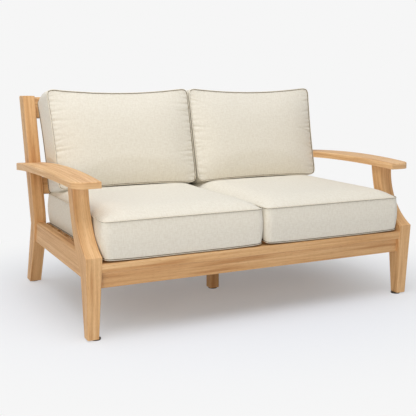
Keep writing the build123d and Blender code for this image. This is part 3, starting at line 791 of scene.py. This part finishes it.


# The seat cushion lies flat: across is X, along is Y, through is Z. In a form, the draws pull the
# outline in between the corners, the crowns raise the panels and the swells bow the boxing.
# Stiffness, pressure, ease, frames and cap are the filling's; fill, how full the cushion is, is not
# used.
seat_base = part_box("seat_cover_right")[0].z
piping_low, piping_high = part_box("seat_piping_right")
BACK_SLOPE = math.tan(BACK_RAKE)
SEAT = Form(
    turn=np.eye(3),
    origin=np.zeros(3),
    middle=(piping_low.x + piping_high.x) / 2,
    width=piping_high.x - piping_low.x - 2 * PIPING_RADIUS,
    along_top=piping_high.y - piping_low.y - 2 * PIPING_RADIUS,
    low=piping_low.y + PIPING_RADIUS,
    high=piping_high.y - PIPING_RADIUS,
    rows=18,
    corner=26 * MM,
    draw_side=5 * MM,
    draw_high=4 * MM,
    draw_low=4 * MM,
    widen=0.0,
    widen_middle=0.0,
    draw_middle=5 * MM,
    rear_seam=seat_base + 2.8 * MM,
    front_seam=seat_base + 131 * MM,
    front_crown=33 * MM,
    rear_crown=1.5 * MM,
    side_power=11.0,
    front_belly=(0.0, 12.0, 30.0),
    pressed_slope=BACK_SLOPE,
    press_blend=4 * MM,
    side_lift=2 * MM,
    front_drop=12 * MM,
    swell=7 * MM,
    swell_middle=7 * MM,
    swell_high=7 * MM,
    stiffness=2.0,
    pressure=1.5,
    ease=0.001,
    frames=10,
    cap=4 * MM,
    pucker=1.8 * MM,
    limit=press_seat,
    fill=0.85,
)

# The back cushion leans on the back rails: across is X, along runs up the rake, through is forwards
rake_cos, rake_sin = math.cos(BACK_RAKE), math.sin(BACK_RAKE)
BACK_TURN = np.array([[1, 0, 0], [0, rake_sin, -rake_cos], [0, rake_cos, rake_sin]])
BACK_FRAME_ORIGIN = np.array([0.0, 0.320, 0.423])
# Both ends of the low edge, a piping radius outside the seam, in mm from the middle of the sofa
BACK_SPAN_MM = (4.5, 645)
# The arm stands beside the cushion between two heights, and the cushion may stand out further above
# and below them
ARM_LEVEL = (0.532, 0.574)
BESIDE_ARM = 643.5 * MM
STAND_OUT_SLOPE = 0.4
CLEAR_OF_MIDDLE = 0.5 * MM
# The zip of the underside: its middle and half its size, across and through, and where its face is
ZIP_MIDDLE = (320 * MM, 110 * MM)
ZIP_HALF = (240 * MM, 50 * MM)
BACK_ZIP_FACE = -2.1 * MM


def press_back(local):
    """The sides are pressed in by the arms, and the underside lies flat behind the zip."""
    level = BACK_FRAME_ORIGIN[2] + local[:, 1] * rake_cos + local[:, 2] * rake_sin
    off_arm = np.maximum(ARM_LEVEL[0] - level, 0) + np.maximum(level - ARM_LEVEL[1], 0)
    local[:, 0] = np.clip(local[:, 0], CLEAR_OF_MIDDLE, BESIDE_ARM + STAND_OUT_SLOPE * off_arm)
    near_zip = np.abs(local[:, 2] - ZIP_MIDDLE[1]) < ZIP_HALF[1]
    near_zip &= np.abs(local[:, 0] - ZIP_MIDDLE[0]) < ZIP_HALF[0]
    local[:, 1] = np.where(near_zip, np.maximum(local[:, 1], BACK_ZIP_FACE), local[:, 1])


BACK = Form(
    turn=BACK_TURN,
    origin=BACK_FRAME_ORIGIN,
    middle=(BACK_SPAN_MM[0] + BACK_SPAN_MM[1]) / 2 * MM,
    width=(BACK_SPAN_MM[1] - BACK_SPAN_MM[0]) * MM - 2 * PIPING_RADIUS,
    along_top=432 * MM,
    low=-10 * MM,
    high=424 * MM - PIPING_RADIUS,
    rows=22,
    corner=28 * MM,
    draw_side=6 * MM,
    draw_high=21 * MM,
    draw_low=9 * MM,
    draw_middle=0.0,
    widen=14 * MM,
    widen_middle=2.5 * MM,
    rear_seam=24.3 * MM,
    front_seam=196.3 * MM,
    front_crown=36 * MM,
    rear_crown=18 * MM,
    side_power=4.5,
    front_belly=(-0.4, 3.0, 3.2),
    pressed_slope=0.0,
    side_lift=0.0,
    front_drop=0.0,
    swell=4 * MM,
    swell_middle=3 * MM,
    swell_high=16 * MM,
    stiffness=1.0,
    pressure=2.5,
    ease=0.006,
    frames=12,
    cap=4 * MM,
    pucker=6.5 * MM,
    limit=press_back,
    fill=0.75,
)


# Each cushion puckers in its own way
SEEDS = {
    "seat_cushion_left": 11,
    "back_cushion_left": 23,
    "seat_cushion_right": 37,
    "back_cushion_right": 53,
}


def make_cushion(kind, side, form):
    """A cushion with its piping, on its own body, in place of the CAD cover, core and piping."""
    name = f"{kind}_cushion_{side}"
    mirror = SIDES[side] < 0
    cushion, seams, sewn = cushion_mesh(name, form, mirror)
    cushion.data.materials.append(cover_cloth)
    sew_and_fill(cushion, sewn, form)
    finer = cushion.modifiers.new("Finer cloth", "SUBSURF")
    finer.levels = finer.render_levels = 1
    finer.use_limit_surface = False
    depsgraph = bpy.context.evaluated_depsgraph_get()
    made = bpy.data.meshes.new_from_object(cushion.evaluated_get(depsgraph))
    cushion.modifiers.remove(finer)
    cushion.data = made
    dress_surface(cushion, form, SEEDS[name], mirror)
    piping = add_piping(cushion, f"{kind}_seam_piping_{side}", seams)
    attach(cushion, name)
    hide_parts(f"{kind}_cover_{side}", f"{kind}_core_{side}")
    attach(piping, name)
    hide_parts(f"{kind}_piping_{side}")


for side in SIDES:
    make_cushion("seat", side, SEAT)
    make_cushion("back", side, BACK)


# Floor, backdrop, light and camera
STUDIO_WHITE = "#F6F6F6"
VIEW_TURN = math.radians(-26.2)
VIEW_TILT = math.radians(80.4)
# The backdrop in metres: the floor's front edge, where it starts to curve, the radius and steps of
# the curve, and the top and half the width of the wall
FLOOR_FRONT = -7.0
CURVE_START = 9.0
CURVE_RADIUS = 3.0
CURVE_STEPS = 12
WALL_TOP = 12.0
HALF_WIDTH = 16.0


def seen_directly(tree):
    """1 where a camera ray or one off a glossy or clear piece arrives, else 0."""
    ray = add_node(tree, "ShaderNodeLightPath").outputs
    seen = ray["Is Camera Ray"]
    for kind in ("Is Glossy Ray", "Is Transmission Ray"):
        either = add_node(tree, "ShaderNodeMath", {0: seen, 1: ray[kind]}, operation="MAXIMUM")
        seen = either.outputs[0]
    return seen


def sweep_backdrop():
    """A pale floor that curves up into a pale wall far behind the sofa."""
    profile = [(FLOOR_FRONT, 0.0), (CURVE_START, 0.0)]
    for step in range(1, CURVE_STEPS + 1):
        angle = math.pi / 2 * step / CURVE_STEPS
        y = CURVE_START + CURVE_RADIUS * math.sin(angle)
        profile.append((y, CURVE_RADIUS * (1 - math.cos(angle))))
    profile.append((CURVE_START + CURVE_RADIUS, WALL_TOP))
    points, faces = [], []
    for y, z in profile:
        points += [(-HALF_WIDTH, y, z), (HALF_WIDTH, y, z)]
    for i in range(len(profile) - 1):
        faces.append((2 * i, 2 * i + 1, 2 * i + 3, 2 * i + 2))
    mesh = bpy.data.meshes.new("backdrop")
    mesh.from_pydata(points, [], faces)
    mesh.polygons.foreach_set("use_smooth", [True] * len(faces))
    floor = bpy.data.objects.new("backdrop", mesh)
    bpy.context.scene.collection.objects.link(floor)
    # turned to face the camera
    floor.rotation_euler = (0, 0, VIEW_TURN)
    material, tree = new_material("seamless_paper")
    paper = add_node(tree, "ShaderNodeBsdfDiffuse", {"Color": linear("#E7EBF3")})
    white = add_node(tree, "ShaderNodeEmission", {"Color": linear(STUDIO_WHITE), "Strength": 1.0})
    # seen by the camera, the paper fades to an even white away from the sofa and its shadow
    place = add_node(tree, "ShaderNodeTexCoord").outputs["Object"]
    oval = add_node(tree, "ShaderNodeMapping", {"Vector": place, "Scale": (1.0, 1.15, 1.0)})
    reach = add_node(
        tree, "ShaderNodeVectorMath", {0: oval.outputs["Vector"]}, operation="LENGTH"
    ).outputs["Value"]
    fade = add_node(
        tree,
        "ShaderNodeMapRange",
        {"Value": reach, "From Min": 0.4, "From Max": 1.6, "To Min": 0.21, "To Max": 1.0},
        interpolation_type="SMOOTHSTEP",
    ).outputs["Result"]
    share = add_node(
        tree, "ShaderNodeMath", {0: seen_directly(tree), 1: fade}, operation="MULTIPLY"
    ).outputs[0]
    shader = add_node(
        tree, "ShaderNodeMixShader", {0: share, 1: paper.outputs[0], 2: white.outputs[0]}
    )
    finish_material(tree, shader)
    mesh.materials.append(material)


def area_light(name, place, target, size, watts, colour):
    """A rectangular lamp that faces its target."""
    data = bpy.data.lights.new(name, "AREA")
    data.shape = "RECTANGLE"
    data.size, data.size_y = size
    data.energy = watts
    data.color = linear(colour)[:3]
    lamp = bpy.data.objects.new(name, data)
    bpy.context.scene.collection.objects.link(lamp)
    lamp.location = place
    lamp.rotation_euler = (Vector(target) - Vector(place)).to_track_quat("-Z", "Y").to_euler()


sweep_backdrop()
# Lamps: the softbox gives the soft shadow under the sofa, the fill lights its front and left side
area_light(
    "overhead_softbox",
    place=(-0.8, -0.9, 4.2),
    target=(0.0, 0.0, 0.3),
    size=(3.6, 2.8),
    watts=112,
    colour="#F6F9FF",
)
area_light(
    "left_fill",
    place=(-3.7, -3.9, 1.5),
    target=(0.0, 0.0, 0.4),
    size=(2.8, 2.2),
    watts=77,
    colour="#FFF4E2",
)
# The world lights the sofa evenly from all round, and is white where it is seen
world = bpy.data.worlds.new("studio")
world.use_nodes = True
bpy.context.scene.world = world
world_tree = world.node_tree
world_tree.nodes.clear()
sky = add_node(
    world_tree, "ShaderNodeBackground", {"Color": linear("#FBFAF7"), "Strength": 0.44}
)
white = add_node(
    world_tree, "ShaderNodeBackground", {"Color": linear(STUDIO_WHITE), "Strength": 1.0}
)
shown = add_node(
    world_tree,
    "ShaderNodeMixShader",
    {0: seen_directly(world_tree), 1: sky.outputs[0], 2: white.outputs[0]},
)
add_node(world_tree, "ShaderNodeOutputWorld", {"Surface": shown.outputs[0]})

lens = bpy.data.cameras.new("camera")
lens.sensor_width = 36.0
lens.lens = 64.6
camera = bpy.data.objects.new("camera", lens)
bpy.context.scene.collection.objects.link(camera)
camera.location = (-1.450, -2.928, 0.910)
camera.rotation_euler = (VIEW_TILT, 0.0, VIEW_TURN)
bpy.context.scene.camera = camera
bpy.context.scene.view_settings.view_transform = "Standard"
